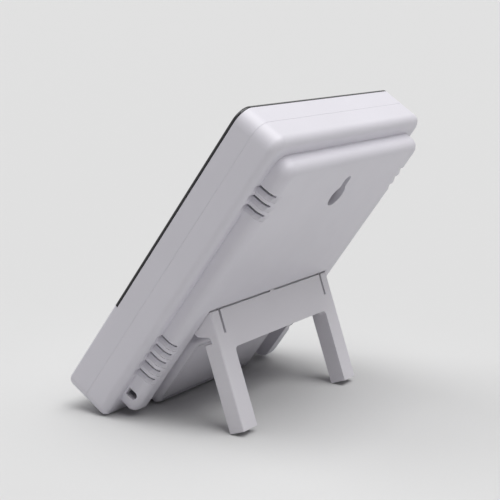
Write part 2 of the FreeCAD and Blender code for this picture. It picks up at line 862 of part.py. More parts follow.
def lens_tape():
    body = new_body("lens_tape")
    outline = sketch(body, "XZ_Plane", S.lens_thickness)
    margin = S.tape_margin
    draw_rounded(outline, margin - half_width, half_width - margin, S.lens_bottom + margin,
                 S.case_height - margin, margin, S.top_corner - margin)
    half = window_width / 2 + margin
    draw_rounded(outline, -half, half, S.window_bottom - margin,
                 S.window_bottom + window_height + margin, margin, margin)
    pad(body, outline, S.tape_thickness)


def lcd_panel():
    body = new_body("lcd_panel")
    half = S.glass_thickness / 2
    add_box(body, -glass_half, glass_half, glass_front + S.lap_gap,
            glass_front + S.lap_gap + half, glass_bottom, glass_top)
    add_box(body, -glass_half, glass_half, glass_front + S.lap_gap + half,
            glass_behind, back_glass_bottom, glass_top)


def lcd_reflector():
    body = new_body("lcd_reflector")
    margin = S.tape_margin
    add_box(body, margin - glass_half, glass_half - margin, glass_behind,
            glass_behind + S.reflector_thickness, back_glass_bottom + margin, glass_top - margin)


def lcd_frame():
    body = new_body("lcd_frame")
    inner = glass_half + S.frame_gap
    outer = inner + S.frame_wall
    low = glass_bottom - S.frame_gap
    high = glass_top + S.frame_gap
    front = glass_front + S.lap_gap
    back = S.board_front - S.lap_gap
    ring = sketch(body, "XZ_Plane", front)
    draw_rounded(ring, -outer, outer, low - S.frame_wall, high + S.frame_wall,
                 S.frame_wall, S.frame_wall)
    pad(body, ring, back - front)
    cut_box(body, -inner, inner, front - S.wall, glass_behind + S.reflector_thickness
            + S.lap_gap, low, high)
    # Lip that backs the glass on three sides; the bottom stays open for the rubber strip
    lip = S.frame_lip
    cut_box(body, lip - inner, inner - lip, front - S.wall, S.board_front + S.wall, low,
            high - lip)
    cut_box(body, -inner, inner, front - S.wall, S.board_front + S.wall, low,
            back_glass_bottom)


def zebra_connector():
    body = new_body("zebra_connector")
    add_box(body, -zebra_length / 2, zebra_length / 2,
            glass_front + S.lap_gap + S.glass_thickness / 2, S.board_front,
            glass_bottom + S.lap_gap, glass_bottom + S.lap_gap + S.zebra_height)


# Circuit board and what is on it

def main_pcb():
    body = new_body("main_pcb")
    board = sketch(body, "XZ_Plane", S.board_front)
    draw_rounded(board, -board_width / 2, board_width / 2, S.board_bottom, board_top,
                 S.wall, S.wall)
    pad(body, board, S.board_thickness)
    for x, height in case_screws:
        cut_rod(body, x, S.board_front - S.wall, height,
                S.screw_radius + S.boss_wall + 3 * S.screw_clear, S.wall * 3, "Y")
    for x, height in board_screws:
        cut_rod(body, x, S.board_front - S.wall, height,
                S.small_screw_radius + S.screw_clear, S.wall * 3, "Y")


def controller_chip():
    body = new_body("controller_chip")
    lead = S.chip_lead
    low = S.chip_height - S.chip_length / 2
    add_box(body, S.chip_x - S.chip_width / 2, S.chip_x + S.chip_width / 2,
            board_back + lead / 2, board_back + lead / 2 + S.chip_thickness,
            low, low + S.chip_length)
    count = 8
    step = S.chip_length / count
    for sign in (-1, 1):
        inner = S.chip_x + sign * (S.chip_width / 2 - lead)
        outer = S.chip_x + sign * (S.chip_width / 2 + 3 * lead)
        first, second = sorted((inner, outer), key=lambda s: s.number)
        for i in range(count):
            middle = low + (i + 0.5) * step
            add_box(body, first, second, board_back, board_back + lead,
                    middle - lead / 2, middle + lead / 2)


def watch_crystal():
    body = new_body("watch_crystal")
    radius = S.crystal_radius
    middle = board_back + radius
    pin = S.chip_lead / 2
    add_rod(body, S.crystal_x, middle, S.crystal_bottom, radius, S.crystal_length, "Z")
    for sign in (-1, 1):
        x = S.crystal_x + sign * radius * 0.45
        end = S.crystal_bottom - S.wall
        add_box(body, x - pin, x + pin, middle - pin, middle + pin, end, S.crystal_bottom + pin)
        add_box(body, x - pin, x + pin, board_back, middle + pin, end - pin, end + pin)


def chip_parts():
    members = []
    for column in range(4):
        for row in range(2):
            x = S.chip_x - 37 + column * 5 * S.chip_lead * 2
            height = S.chip_height - 3 + row * 4
            part = doc.addObject("Part::Box", "chip_part")
            set_box(part, x, x + S.wall, board_back, board_back + S.chip_lead * 1.2,
                    height, height + S.wall * 0.6)
            members.append(part)
    new_group("chip_parts", members)


def humidity_sensor():
    body = new_body("humidity_sensor")
    half = S.sensor_size / 2
    x0, x1 = sensor_x - half, sensor_x + half
    low = sensor_height - half * 1.3
    add_box(body, x0, x1, board_back + S.chip_lead, board_back + S.sensor_thickness,
            low, sensor_height + half * 1.3)
    for i in range(3):
        middle = sensor_x + (i - 1) * half * 0.6
        cut_box(body, middle - S.chip_lead / 2, middle + S.chip_lead / 2,
                board_back + S.sensor_thickness * 0.6, board_back + 2 * S.sensor_thickness,
                sensor_height - half * 0.8, sensor_height + half * 0.8)
        add_box(body, middle - S.chip_lead / 2, middle + S.chip_lead / 2, board_back,
                board_back + S.chip_lead * 2, low - S.chip_lead, low + S.chip_lead)


def thermistor():
    body = new_body("thermistor")
    bead = S.bead_radius
    tip = board_back + S.bead_stand
    add_rod(body, bead_x, tip, S.bead_height, bead, bead * 1.6, "Y")
    fillet(body, bead * 0.55, lambda edge: edge.Closed)
    for sign in (-1, 1):
        add_rod(body, bead_x + sign * bead * 0.5, board_back, S.bead_height,
                S.chip_lead * 0.6, S.bead_stand + bead * 0.8, "Y")


def key(label, x):
    body = new_body(label)
    cap = sketch(body, "XZ_Plane", -S.key_proud)
    draw_pill(cap, x, as_size(0))
    pad(body, cap, flange_front + S.key_proud)
    fillet(body, S.key_round, lambda edge: flat_in(edge, "y", -S.key_proud))
    flange = sketch(body, "XZ_Plane", flange_front)
    draw_pill(flange, x, S.key_flange)
    pad(body, flange, S.key_flange_thickness)


def key_switches():
    members = []
    for x in key_places:
        half = S.switch_size / 2
        base = doc.addObject("Part::Box", "switch_base")
        set_box(base, x - half, x + half, S.board_front - S.switch_body, S.board_front,
                S.key_height - half, S.key_height + half)
        plunger = doc.addObject("Part::Cylinder", "plunger")
        set_rod(plunger, x, plunger_front, S.key_height, S.plunger_radius,
                S.board_front - plunger_front - S.switch_body / 2, "Y")
        switch = doc.addObject("Part::Fuse", "switch")
        switch.Base = base
        switch.Tool = plunger
        members.append(switch)
    new_group("key_switches", members)


# Cells, contacts and leads

def battery(label, height, plus):
    """A slim cell lying across the well, its plus end towards +X or -X."""
    body = new_body(label)
    tip = plus * (well_half - S.contact_thickness - S.dimple_reach)
    shoulder = tip - plus * S.nub_length
    far = tip - plus * S.cell_length
    low, high = sorted((shoulder, far), key=lambda s: s.number)
    add_rod(body, low, cell_depth, height, S.cell_diameter / 2, high - low, "X")
    fillet(body, S.key_round, lambda edge: isinstance(edge.Curve, Part.Circle))
    low, high = sorted((shoulder - plus * S.nub_length, tip), key=lambda s: s.number)
    add_rod(body, low, cell_depth, height, S.nub_radius, high - low, "X")


def plate(body, wall_side, low, high):
    """Flat plate of a contact against one end wall of the well."""
    outer = wall_side * well_half
    inner = wall_side * (well_half - S.contact_thickness)
    x0, x1 = sorted((outer, inner), key=lambda s: s.number)
    add_box(body, x0, x1, well_floor + S.cell_gap, cell_depth + S.plate_half,
            low - S.plate_half, high + S.plate_half)


def leaf(body, wall_side, height):
    """Bent spring tongue that presses on the flat end of a cell."""
    metal = S.contact_thickness
    tip = metal + S.spring_reach
    low = well_floor + S.cell_gap
    path = [(metal / 2, low), (tip, cell_depth - 1.2), (tip, cell_depth + 1.2),
            (tip - 1.6, cell_depth + 3.2), (tip - 1.95, cell_depth + 2.95),
            (tip - metal, cell_depth + 1.05), (tip - metal, cell_depth - 1.05),
            (metal / 2, low + 1.3 * metal)]
    tongue = sketch(body, "XY_Plane", height - S.tab_width)
    draw_polygon(tongue, [(wall_side * (well_half - u), y) for u, y in path])
    pad(body, tongue, 2 * S.tab_width)


def dimple(body, wall_side, height):
    inner = well_half - S.contact_thickness / 2
    x0, x1 = sorted((wall_side * inner, wall_side * (well_half - S.contact_thickness
                                                     - S.dimple_reach)),
                    key=lambda s: s.number)
    add_rod(body, x0, cell_depth, height, S.nub_radius * 0.8, x1 - x0, "X")


def tab(body, height):
    add_box(body, -tab_end, -well_half + S.contact_thickness / 2, tab_depth,
            tab_depth + S.contact_thickness, height - S.tab_width / 2,
            height + S.tab_width / 2)


def contacts():
    negative = new_body("negative_contact")
    plate(negative, -1, high_cell, high_cell)
    leaf(negative, -1, high_cell)
    tab(negative, high_cell)
    positive = new_body("positive_contact")
    plate(positive, -1, low_cell, low_cell)
    dimple(positive, -1, low_cell)
    tab(positive, low_cell)
    bridge = new_body("bridge_contact")
    plate(bridge, 1, low_cell, high_cell)
    leaf(bridge, 1, low_cell)
    dimple(bridge, 1, high_cell)


def lead(label, height):
    """Wire from a contact's tab, bent down to the board."""
    body = new_body(label)
    level = tab_depth + S.contact_thickness / 2
    straight = S.lead_bend
    add_rod(body, -tab_end - straight, level, height, S.lead_radius, straight, "X")
    bend = new_feature(body, "AdditiveTorus", "bend")
    bend.Placement = Placement(Vector(0, 0, 0), Rotation(Vector(0, 0, 1), 90))
    bend.Angle3 = 90
    bind(bend, "Radius1", S.lead_bend)
    bind(bend, "Radius2", S.lead_radius)
    bind(bend, "Placement.Base.x", -tab_end - straight)
    bind(bend, "Placement.Base.y", level - S.lead_bend)
    bind(bend, "Placement.Base.z", height)
    add_rod(body, -tab_end - straight - S.lead_bend, board_back, height, S.lead_radius,
            level - S.lead_bend - board_back, "Y")


def battery_cover():
    body = new_body("battery_cover", cover_hinge_depth, cover_hinge_height)
    # Drawn about its own hinge line
    inner = -cover_round
    top = cover_top - cover_hinge_height
    add_box(body, -cover_half, cover_half, inner, cover_round, 0, top)
    cut_rod(body, 0, -S.wall, top + S.scoop_radius - S.scoop_depth, S.scoop_radius,
            2 * S.wall, "Y")
    add_rod(body, -cover_half, 0, 0, cover_round, 2 * cover_half, "X")
    tip = hook_tip - cover_hinge_depth
    stem = well_bottom + S.cover_gap / 2 - cover_hinge_height
    foot = cover_bottom + S.lap_gap - cover_hinge_height
    for x in hook_places:
        half = S.hook_width / 2
        add_box(body, x - half, x + half, tip, inner + S.lap_gap, stem,
                stem + S.hook_thickness)
        add_box(body, x - half, x + half, tip, tip + S.hook_thickness, foot,
                stem + S.hook_thickness)
    for i in range(3):
        rib = top - S.rib_start - i * S.rib_pitch
        cut_box(body, -S.scoop_radius, S.scoop_radius, cover_round - S.chip_lead,
                cover_round + S.wall, rib - S.chip_lead, rib + S.chip_lead)


# Stand, drawn about its hinge line as if it hung straight down from it

def stand():
    body = new_body("stand", hinge_depth, S.hinge_height, S.stand_open)
    outer = S.hub_radius
    inner = outer - S.crossbar_thickness
    arch_half = S.stand_half - S.leg_width
    add_box(body, -S.stand_half, S.stand_half, inner, outer, -leg_length, 0)
    for sign in (-1, 1):
        x0, x1 = sorted((sign * arch_half, sign * S.stand_half), key=lambda s: s.number)
        add_box(body, x0, x1, -leg_inner, inner + S.leg_round, -leg_length,
                S.leg_lead - S.crossbar_drop)
    arch = sketch(body, "XZ_Plane", -2 * outer)
    draw_rounded(arch, -arch_half, arch_half, -2 * leg_length, -S.crossbar_drop,
                 S.arch_round, S.arch_round)
    pocket(body, arch, 4 * outer)
    fillet(body, S.leg_round, lambda edge: leg_edge(edge))
    add_rod(body, -S.stand_half, 0, 0, S.hub_radius, 2 * S.stand_half, "X")

    # Rebate along the upper edge, with a nib in the middle that meets the recess's edge
    for low, high in ((-S.stand_half, -S.stop_half), (S.stop_half, S.stand_half)):
        cut_box(body, low, high, outer - S.rebate_depth, 2 * outer,
                -stop_drop - S.rebate_drop, outer)

    # Ears at both ends of the hinge, made springy by a slit beside each
    ear = [(S.leg_round, 0), (-S.hub_radius, 0), (-S.ear_depth, -1.5),
           (-S.ear_depth, 1 - S.ear_reach), (0.9 - S.ear_depth, -S.ear_reach),
           (-0.6, -S.slit_length), (S.leg_round, -S.slit_length - 1)]
    for sign in (-1, 1):
        start = ear_inner if sign > 0 else -S.stand_half
        side = sketch(body, "YZ_Plane", start)
        draw_polygon(side, ear)
        pad(body, side, S.ear_width)
        x0, x1 = sorted((sign * ear_inner, sign * (ear_inner - S.slit_width)),
                        key=lambda s: s.number)
        cut_box(body, x0, x1, -2 * S.ear_depth, 2 * outer, -S.slit_length, 2 * outer)
    for sign in (-1, 1):
        reach = S.pin_length + S.pin_radius
        start = S.stand_half - S.pin_radius if sign > 0 else -S.stand_half - S.pin_length
        add_rod(body, start, 0, 0, S.pin_radius, reach, "X")


def leg_edge(edge):
    """Long outer edges of the legs, and the edges round the foot of each leg."""
    box = edge.BoundBox
    upright = box.ZLength > S.leg_width.number and box.XLength < 1e-4 and box.YLength < 1e-4
    on_side = near(abs(edge.CenterOfMass.x), S.stand_half)
    return upright and on_side and abs(edge.CenterOfMass.y) > S.hub_radius.number - 1e-3


# Fasteners

def screw(x, seat, height, radius, length, head_radius, head_height):
    """A pan-head screw driven from the back, with a cross recess."""
    shank = doc.addObject("Part::Cylinder", "shank")
    set_rod(shank, x, seat - length, height, radius, length + head_height / 2, "Y")
    head = doc.addObject("Part::Cylinder", "head")
    set_rod(head, x, seat, height, head_radius, head_height, "Y")
    joined = doc.addObject("Part::Fuse", "screw_blank")
    joined.Base = head
    joined.Tool = shank
    slots = []
    long_half = head_radius * 0.6
    thin_half = head_radius * 0.14
    for wide, tall in ((long_half, thin_half), (thin_half, long_half)):
        slot = doc.addObject("Part::Box", "slot")
        set_box(slot, x - wide, x + wide, seat + head_height * 0.4, seat + head_height * 1.5,
                height - tall, height + tall)
        slots.append(slot)
    cross = doc.addObject("Part::Fuse", "cross")
    cross.Base, cross.Tool = slots
    finished = doc.addObject("Part::Cut", "screw")
    finished.Base = joined
    finished.Tool = cross
    return finished


def screws():
    new_group("case_screws", [
        screw(x, head_seat, height, S.screw_radius, S.screw_length, S.head_radius,
              S.head_height) for x, height in case_screws])
    new_group("pcb_screws", [
        screw(x, board_back, height, S.small_screw_radius, S.small_screw_length,
              S.small_head_radius, S.small_head_height) for x, height in board_screws])


# Build everything

form = case_form()
front_shell(form)
rear_shell(form)
display_lens(form)
lens_tape()
lcd_panel()
lcd_reflector()
lcd_frame()
zebra_connector()
main_pcb()
controller_chip()
watch_crystal()
chip_parts()
humidity_sensor()
thermistor()
for label, x in zip(("button_left", "button_middle", "button_right"), key_places):
    key(label, x)
key_switches()
battery("battery_upper", high_cell, 1)
battery("battery_lower", low_cell, -1)
contacts()
lead("black_lead", high_cell)
lead("red_lead", low_cell)
battery_cover()
stand()
screws()
for piece in pieces:
    if piece.isDerivedFrom("PartDesign::Body"):
        piece.Tip.Refine = True
doc.recompute()

# Check every feature, then write one file for each piece

SOLIDS = {"chip_parts": 8, "key_switches": 3, "case_screws": 4, "pcb_screws": 4}

faults = []
for thing in doc.Objects:
    if any(state in ("Invalid", "Error") for state in thing.State):
        faults.append(f"{thing.Name} has the state {thing.State}")

for body in pieces:
    if not body.isDerivedFrom("PartDesign::Body"):
        continue
    volume = 0.0
    for feature in body.Group:
        if not feature.isDerivedFrom("PartDesign::Feature"):
            continue
        new_volume = feature.Shape.Volume
        cuts = "Subtractive" in feature.TypeId or feature.TypeId == "PartDesign::Pocket"
        adds = "Additive" in feature.TypeId or feature.TypeId == "PartDesign::Pad"
        if (cuts and new_volume > volume - 1e-6) or (adds and new_volume < volume + 1e-6):
            faults.append(f"{body.Label}: {feature.Name} changed nothing or went the wrong way")
        volume = new_volume

for piece in pieces:
    shape = piece.Shape
    wanted = SOLIDS.get(piece.Label, 1)
    if shape.isNull() or not shape.isValid() or len(shape.Solids) != wanted:
        faults.append(f"{piece.Label}: solids {len(shape.Solids)}, valid {shape.isValid()}")

if faults:
    raise RuntimeError("\n".join(faults))

whole = FreeCAD.BoundBox()
for piece in pieces:
    piece.Shape.exportStep(f"parts/{piece.Label}.step")
    whole.add(piece.Shape.BoundBox)
    print(f"{piece.Label}: {piece.Shape.Volume:.1f} mm3, {len(piece.Shape.Faces)} faces")
print(f"{len(pieces)} pieces, {whole.XLength:.2f} x {whole.YLength:.2f} x {whole.ZLength:.2f} mm,"
      f" y {whole.YMin:.2f} to {whole.YMax:.2f}, z {whole.ZMin:.3f} to {whole.ZMax:.2f}")
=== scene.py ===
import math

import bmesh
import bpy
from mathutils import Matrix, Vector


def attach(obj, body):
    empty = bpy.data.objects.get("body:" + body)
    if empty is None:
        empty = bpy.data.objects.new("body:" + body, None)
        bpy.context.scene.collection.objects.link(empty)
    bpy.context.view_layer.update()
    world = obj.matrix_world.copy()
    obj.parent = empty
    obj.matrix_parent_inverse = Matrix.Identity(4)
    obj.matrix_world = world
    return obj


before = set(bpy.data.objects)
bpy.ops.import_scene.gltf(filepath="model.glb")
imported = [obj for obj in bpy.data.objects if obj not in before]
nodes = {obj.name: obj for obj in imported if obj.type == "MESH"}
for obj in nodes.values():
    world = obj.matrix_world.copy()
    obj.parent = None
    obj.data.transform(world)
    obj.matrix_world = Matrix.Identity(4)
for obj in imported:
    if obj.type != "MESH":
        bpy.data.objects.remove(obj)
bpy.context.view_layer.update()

# %% [markdown]
# # A thermo-hygrometer on its stand
# The construction model gives every piece its true shape and place. This lesson
# dresses it: moulded plastic, a black-rimmed lens, a display with dark digits behind
# it, and the quiet light of a product photograph. Nothing here moves or reshapes a
# construction piece, so the two models stay the same size.

# %% [markdown]
# ## Where the leaning case is
# The real case stands tilted back on its stand. Digits and printed areas are easier to
# describe upright, as if the case stood straight: across, in from the display, and up.
# One matrix turns such a place into the leaning one. It follows from the case's sizes,
# in millimetres: how deep and high it is, and how its edges are rounded, because those
# decide where the case touches the floor. A Mapping node can use the same lean the
# other way round, so that a pattern follows the case.

# %% The lean of the case
MM = 0.001
LEAN = math.radians(31.5)
BODY_DEPTH, BACK_DEPTH, CASE_HEIGHT = 16.4, 22.2, 108.0
LOW_ROUND, FRONT_ROUND, BACK_ROUND, BACK_TOP = 1.2, 2.5, 3.0, 5.6

sin_lean, cos_lean = math.sin(LEAN), math.cos(LEAN)
lift = (BODY_DEPTH - LOW_ROUND) * sin_lean - LOW_ROUND * cos_lean + LOW_ROUND
front_reach = FRONT_ROUND * (sin_lean + cos_lean - 1)
rear_reach = ((BACK_DEPTH - BACK_ROUND) * cos_lean
              + (CASE_HEIGHT - BACK_TOP - BACK_ROUND) * sin_lean + BACK_ROUND)
setback = (front_reach + rear_reach) / 2
upright = (Matrix.Translation((0, -setback * MM, lift * MM))
           @ Matrix.Rotation(-LEAN, 4, "X"))
print("the case's bottom front edge is at", [round(v, 5) for v in upright.translation])

# %% [markdown]
# ## Small helpers for materials
# Every finish is a Principled shader fed by patterns that read Object coordinates. The
# pieces sit at the origin, so those coordinates are the object's own metres: a pattern
# of scale 3000 has grains of a third of a millimetre, whichever piece wears it.

# %% Materials and their coordinates
def new_material(name, colour, roughness, **sockets):
    """A material with one Principled shader; returns it with its node tree and shader."""
    material = bpy.data.materials.new(name)
    material.use_nodes = True
    tree = material.node_tree
    shader = tree.nodes["Principled BSDF"]
    shader.inputs["Base Color"].default_value = (*colour, 1.0)
    shader.inputs["Roughness"].default_value = roughness
    for socket, value in sockets.items():
        shader.inputs[socket.replace("_", " ")].default_value = value
    return material, tree, shader


def object_coordinates(tree, scale=(1, 1, 1), turn=(0, 0, 0), move=(0, 0, 0)):
    """Object coordinates through a Mapping node."""
    place = tree.nodes.new("ShaderNodeTexCoord")
    mapping = tree.nodes.new("ShaderNodeMapping")
    mapping.vector_type = "POINT"
    mapping.inputs["Scale"].default_value = scale
    mapping.inputs["Rotation"].default_value = turn
    mapping.inputs["Location"].default_value = move
    tree.links.new(place.outputs["Object"], mapping.inputs["Vector"])
    return mapping.outputs["Vector"]


# %% [markdown]
# ## Small helpers for patterns
# Noise hardly ever leaves the range from 0.3 to 0.7. So the helpers that turn a pattern
# into shades, or into a roughness, spread that middle range over what they are given.

# %% Patterns
NOISE_RANGE = (0.3, 0.7)


def noise(tree, where, scale, detail=2.0, roughness=0.5):
    node = tree.nodes.new("ShaderNodeTexNoise")
    node.inputs["Scale"].default_value = scale
    node.inputs["Detail"].default_value = detail
    node.inputs["Roughness"].default_value = roughness
    tree.links.new(where, node.inputs["Vector"])
    return node.outputs["Fac"]


def tinted(colour, factor):
    return tuple(min(1.0, channel * factor) for channel in colour)


def two_shades(tree, pattern, colour, low, high, stops=NOISE_RANGE):
    """Two close shades of a colour: one where the pattern is low, one where it is high."""
    node = tree.nodes.new("ShaderNodeValToRGB")
    for element, position, factor in zip(node.color_ramp.elements, stops, (low, high)):
        element.position = position
        element.color = (*tinted(colour, factor), 1.0)
    tree.links.new(pattern, node.inputs["Fac"])
    return node.outputs["Color"]


def remap(tree, pattern, low, high):
    """A noise pattern stretched to run from low to high."""
    node = tree.nodes.new("ShaderNodeMapRange")
    node.inputs["From Min"].default_value, node.inputs["From Max"].default_value = NOISE_RANGE
    node.inputs["To Min"].default_value = low
    node.inputs["To Max"].default_value = high
    tree.links.new(pattern, node.inputs["Value"])
    return node.outputs["Result"]


def bump(tree, shader, height, distance, strength):
    """Let a pattern raise the surface by a distance in metres."""
    node = tree.nodes.new("ShaderNodeBump")
    node.inputs["Strength"].default_value = strength
    node.inputs["Distance"].default_value = distance
    tree.links.new(height, node.inputs["Height"])
    tree.links.new(node.outputs["Normal"], shader.inputs["Normal"])


# %% [markdown]
# ## Small helpers for masks
# A mask is 1 in one place and 0 elsewhere. Math nodes compare and combine coordinates
# to make one, and a Mix node shows one colour or the other by it.

# %% Masks
def math_node(tree, operation, *values):
    """A Math node fed by numbers and by other nodes' outputs."""
    node = tree.nodes.new("ShaderNodeMath")
    node.operation = operation
    for socket, value in zip(node.inputs, values):
        if isinstance(value, (int, float)):
            socket.default_value = value
        else:
            tree.links.new(value, socket)
    return node.outputs["Value"]


def mix_colours(tree, mask, first, second):
    """The first colour where the mask is 0, and the second where it is 1."""
    mix = tree.nodes.new("ShaderNodeMix")
    mix.data_type = "RGBA"
    if isinstance(first, tuple):
        mix.inputs["A"].default_value = (*first, 1)
    else:
        tree.links.new(first, mix.inputs["A"])
    mix.inputs["B"].default_value = (*second, 1)
    tree.links.new(mask, mix.inputs["Factor"])
    return mix.outputs["Result"]


def paint(material, *names):
    """Give one material to whole construction pieces."""
    for name in names:
        mesh = nodes[name].data
        mesh.materials.clear()
        mesh.materials.append(material)
    print(material.name, "on", ", ".join(names))


# %% [markdown]
# ## Moulded case plastic
# The case is matt white plastic with a faint cool tint. The mould leaves a very fine
# spark-eroded grain: too small to see as bumps, but it softens every highlight. Three
# noises make the finish. A broad one shifts the colour by a percent or two, as real
# mouldings do. A patchy one makes some places a little glossier and others duller. A
# fine one gives the grain its height. The two shades sit closer together on the noise
# than its whole range, so that both of them really show.

# %% Case plastic
CLOUD_SCALE = 28.0
PATCH_SCALE = 160.0
CLOSE_STOPS = (0.35, 0.65)
GLOSSIER, DULLER = 0.04, 0.05


def moulded_plastic(name, colour, roughness, grain=3200.0, height=0.000012, drift=0.02):
    material, tree, shader = new_material(name, colour, roughness, IOR=1.5)
    where = object_coordinates(tree)
    broad = noise(tree, where, CLOUD_SCALE, detail=3.0)
    tint = two_shades(tree, broad, colour, 1 - drift, 1 + drift / 2, stops=CLOSE_STOPS)
    tree.links.new(tint, shader.inputs["Base Color"])
    patches = noise(tree, where, PATCH_SCALE)
    tree.links.new(remap(tree, patches, roughness - GLOSSIER, roughness + DULLER),
                   shader.inputs["Roughness"])
    fine = noise(tree, where, grain, detail=3.0, roughness=0.6)
    bump(tree, shader, fine, distance=height, strength=0.6)
    return material


CASE_WHITE = (0.745, 0.727, 0.785)
case_plastic = moulded_plastic("case_plastic", CASE_WHITE, 0.42)
paint(case_plastic, "rear_shell", "front_shell", "battery_cover")

# %% [markdown]
# ## Stand plastic
# The stand is its own moulding, from a slightly warmer and greyer batch than the case.
# A different batch of the same plastic only needs a different colour, gloss and grain,
# so the same function makes it.

# %% Stand plastic
STAND_WHITE = (0.745, 0.725, 0.77)
stand_plastic = moulded_plastic("stand_plastic", STAND_WHITE, 0.4, grain=2600.0)
paint(stand_plastic, "stand")

# %% [markdown]
# ## Keys
# The three keys are touched often, so they are smoother than the case all over. Their
# grain is lower and wider than the case's.

# %% Keys
KEY_WHITE = (0.76, 0.76, 0.78)
key_plastic = moulded_plastic("key_plastic", KEY_WHITE, 0.3, grain=1800.0,
                              height=0.000006, drift=0.015)
paint(key_plastic, "button_left", "button_middle", "button_right")

# %% [markdown]
# ## Lens
# The clear front window is printed black on its back, all round, and left clear over
# the display. One piece of acrylic needs two looks, split by where a point lies: the
# Mapping node turns the leaning coordinates upright, and comparing them with the
# window's edges gives a mask between black ink and clear acrylic.

# %% Lens
WINDOW_HALF, WINDOW_LOW, WINDOW_HIGH = 42.0, 42.0, 100.0
INK_BLACK = (0.012, 0.012, 0.014)
CLEAR = (0.96, 0.97, 0.96)


def upright_coordinates(tree):
    """Coordinates of the upright case in metres: X across, Y in from the display, Z up."""
    turned = object_coordinates(tree, turn=(LEAN, 0, 0), move=upright.inverted().translation)
    split = tree.nodes.new("ShaderNodeSeparateXYZ")
    tree.links.new(turned, split.inputs["Vector"])
    return split.outputs


def window_mask(tree):
    """1 inside the clear window of the lens, 0 on its printed border."""
    across, _, up = upright_coordinates(tree)
    inside = math_node(tree, "LESS_THAN", math_node(tree, "ABSOLUTE", across), WINDOW_HALF * MM)
    above = math_node(tree, "GREATER_THAN", up, WINDOW_LOW * MM)
    below = math_node(tree, "LESS_THAN", up, WINDOW_HIGH * MM)
    return math_node(tree, "MULTIPLY", inside, math_node(tree, "MULTIPLY", above, below))


def lens_material():
    material, tree, shader = new_material("lens_acrylic", INK_BLACK, roughness=0.06, IOR=1.49)
    mask = window_mask(tree)
    smear = noise(tree, object_coordinates(tree), scale=60.0, detail=4.0)
    tree.links.new(remap(tree, smear, low=0.04, high=0.11), shader.inputs["Roughness"])
    tree.links.new(mix_colours(tree, mask, INK_BLACK, CLEAR), shader.inputs["Base Color"])
    tree.links.new(mask, shader.inputs["Transmission Weight"])
    return material


lens_acrylic = lens_material()
paint(lens_acrylic, "display_lens")

# %% [markdown]
# ## Display glass
# A liquid-crystal display looks grey-green when nothing is switched on: that is the
# polariser over the reflector. A faint cloudiness and a fine grain, both far weaker
# than the digits, keep it from looking like painted card.

# %% Display glass
def display_material():
    colour = (0.47, 0.5, 0.43)
    material, tree, shader = new_material("display_polariser", colour, roughness=0.25, IOR=1.5)
    where = object_coordinates(tree)
    cloud = two_shades(tree, noise(tree, where, scale=35.0), colour, low=0.95, high=1.04)
    tree.links.new(cloud, shader.inputs["Base Color"])
    bump(tree, shader, noise(tree, where, scale=5000.0), distance=0.000004, strength=0.4)
    return material


display_polariser = display_material()
paint(display_polariser, "lcd_panel")

# %% [markdown]
# ## Digits
# The display shows a temperature above a humidity, in seven-segment digits. A segment
# is a flat bar with pointed ends, so one small helper makes it from a square grid of
# three by three points: stretch the grid to a bar, draw in the corners so that the
# middle of each end stands out as a point, and extrude it to the thickness of a printed
# film. Each digit switches on its own set of bars, named a to g clockwise from the top,
# with g across the middle.

# %% Segment shapes
FILM = 0.05
FILM_FRONT = 2.70

BAR_GAP = 0.12
DIGIT_BARS = {"2": "abged", "3": "abgcd", "4": "fgbc", "5": "afgcd", "8": "abcdefg"}


def add_bar(target, centre, length, thick, turn=0):
    """A pointed bar of the display, in upright millimetres (x, z), lying in the film."""
    flat = bmesh.new()
    bmesh.ops.create_grid(flat, x_segments=2, y_segments=2, size=0.5)
    for vert in flat.verts:
        column, row = round(vert.co.x * 2), round(vert.co.y * 2)
        vert.co.x = column * (length - abs(row) * thick) / 2
        vert.co.y = row * thick / 2
    place_flat(flat, target, centre, turn)


def add_disc(target, centre, radius, hole=0.0):
    """A round dot of the display, or a ring."""
    flat = bmesh.new()
    bmesh.ops.create_circle(flat, cap_ends=True, segments=32, radius=radius)
    if hole:
        bmesh.ops.inset_individual(flat, faces=flat.faces[:], thickness=radius - hole)
        middle = [face for face in flat.faces if len(face.verts) > 4]
        bmesh.ops.delete(flat, geom=middle, context="FACES")
    place_flat(flat, target, centre, 0)


def place_flat(flat, target, centre, turn):
    """Give a flat shape the film's thickness and add it to the target, at its place."""
    solid = bmesh.ops.extrude_face_region(flat, geom=flat.faces[:])
    moved = [v for v in solid["geom"] if isinstance(v, bmesh.types.BMVert)]
    bmesh.ops.translate(flat, verts=moved, vec=(0, 0, FILM))
    bmesh.ops.recalc_face_normals(flat, faces=flat.faces[:])
    spin = Matrix.Rotation(math.radians(turn), 4, "Z")
    stand_up = Matrix.Rotation(math.radians(90), 4, "X")
    shift = Matrix.Translation((centre[0], FILM_FRONT + FILM, centre[1]))
    bmesh.ops.transform(flat, matrix=shift @ stand_up @ spin, verts=flat.verts[:])
    scratch = bpy.data.meshes.new("scratch")
    flat.to_mesh(scratch)
    flat.free()
    target.from_mesh(scratch)
    bpy.data.meshes.remove(scratch)


def add_digit(target, character, left, bottom, wide, tall, thick):
    """One seven-segment digit with its lower left corner at (left, bottom)."""
    right, middle, top = left + wide, bottom + tall / 2, bottom + tall
    half, gap = thick / 2, thick * BAR_GAP
    across = wide - thick - 2 * gap
    along = tall / 2 - thick / 2 - 2 * gap
    bars = {"a": ((left + wide / 2, top - half), across, 0),
            "g": ((left + wide / 2, middle), across, 0),
            "d": ((left + wide / 2, bottom + half), across, 0),
            "f": ((left + half, middle + tall / 4 - half / 2), along, 90),
            "b": ((right - half, middle + tall / 4 - half / 2), along, 90),
            "e": ((left + half, middle - tall / 4 + half / 2), along, 90),
            "c": ((right - half, middle - tall / 4 + half / 2), along, 90)}
    for letter in DIGIT_BARS[character]:
        centre, length, turn = bars[letter]
        add_bar(target, centre, length, thick, turn)


